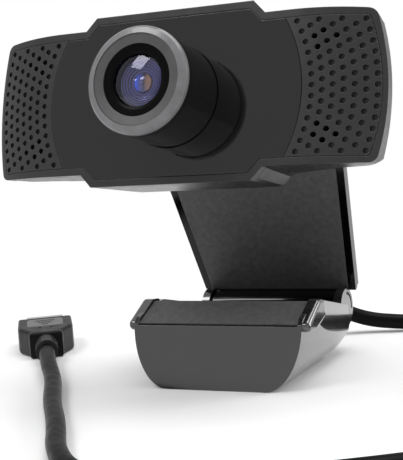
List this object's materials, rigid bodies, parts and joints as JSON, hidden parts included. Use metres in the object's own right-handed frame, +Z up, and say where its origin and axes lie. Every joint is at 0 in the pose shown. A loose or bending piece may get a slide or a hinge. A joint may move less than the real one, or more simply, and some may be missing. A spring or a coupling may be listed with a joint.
{
  "type": "webcam on folding clip stand",
  "caption": "Webcam head with a central lens barrel and side grilles, tilting on a folding clip stand, with its USB lead and plug.",
  "frame": {"origin": "middle of the object's box, lead left out, on the surface that the foot stands on", "axes": "+Z up, the lens looks towards -Y, +X to the viewer's right seen from the lens side"},
  "size_m": [0.2162, 0.1602, 0.0943],
  "materials": {
    "face_gloss": "high gloss, dark grey",
    "casing_satin": "satin, fine moulded grain",
    "lens_black": "gloss black",
    "cone_grey": "satin grey with fine turned rings",
    "lens_glass": "coated glass",
    "board_green": "solder mask",
    "chip_black": "moulded packages",
    "inner_black": "plain moulded",
    "mic_metal": "drawn can",
    "soft_rubber": "matt",
    "steel": "plain steel",
    "leg_gloss": "gloss black",
    "pad_rubber": "soft-touch, very fine grain",
    "foot_gloss": "semi-gloss black",
    "brass": "plain",
    "lead_black": "glossy soft cable jacket",
    "tie_fabric": "woven band",
    "plug_black": "satin overmould",
    "plug_inlay_grey": "satin"
  },
  "bodies": {
    "foot": {"foot_shell": "foot_gloss", "lip_pad": "pad_rubber", "insert_nut": "brass", "foot_pin": "steel", "foot_washers": "steel", "lead_drop": "lead_black", "lead_floor": "lead_black", "lead_coil": "lead_black", "lead_tail": "lead_black", "coil_tie": "tie_fabric", "plug_relief": "soft_rubber", "plug_overmould": "plug_black", "plug_inlay": "plug_inlay_grey", "plug_shell": "steel", "plug_tongue": "inner_black", "plug_contacts": "brass"},
    "leg": {"leg_frame": "leg_gloss", "leg_pad": "pad_rubber", "lead_upper": "lead_black"},
    "head": {"face_plate": "face_gloss", "front_bezel": "casing_satin", "grille_left": "casing_satin", "grille_right": "casing_satin", "rear_shell": "casing_satin", "neck_bracket": "casing_satin", "lens_barrel": "lens_black", "pin_caps": "lens_black", "ir_filter": "lens_glass", "main_board": "board_green", "board_chips": "chip_black", "image_sensor": "chip_black", "lens_holder": "inner_black", "mic_left": "mic_metal", "mic_right": "mic_metal", "mic_boots": "soft_rubber", "cord_gland": "soft_rubber", "shell_screws": "steel", "neck_screws": "steel", "tilt_pin": "steel", "tilt_washers": "steel"},
    "lens": {"lens_ring": "lens_black", "cone_insert": "cone_grey", "lens_retainer": "lens_black", "lens_cell": "lens_black", "front_glass": "lens_glass", "lens_baffle": "lens_black", "inner_glass": "lens_glass", "rear_glass": "lens_glass"}
  },
  "joints": [
    {"name": "leg_fold", "type": "hinge", "parent": "foot", "child": "leg", "pos_m": [0, 0.03445, 0.013], "axis": [1, 0, 0], "range_deg": [-65, 35], "deforming": ["lead_drop"]},
    {"name": "head_tilt", "type": "hinge", "parent": "leg", "child": "head", "pos_m": [0, 0.01305, 0.06366], "axis": [1, 0, 0], "range_deg": [-60, 20], "deforming": ["lead_upper"]},
    {"name": "focus_turn", "type": "hinge", "parent": "head", "child": "lens", "pos_m": [0, -0.02315, 0.0739], "axis": [0, -0.9724, 0.2334], "range_deg": [-135, 135]}
  ]
}
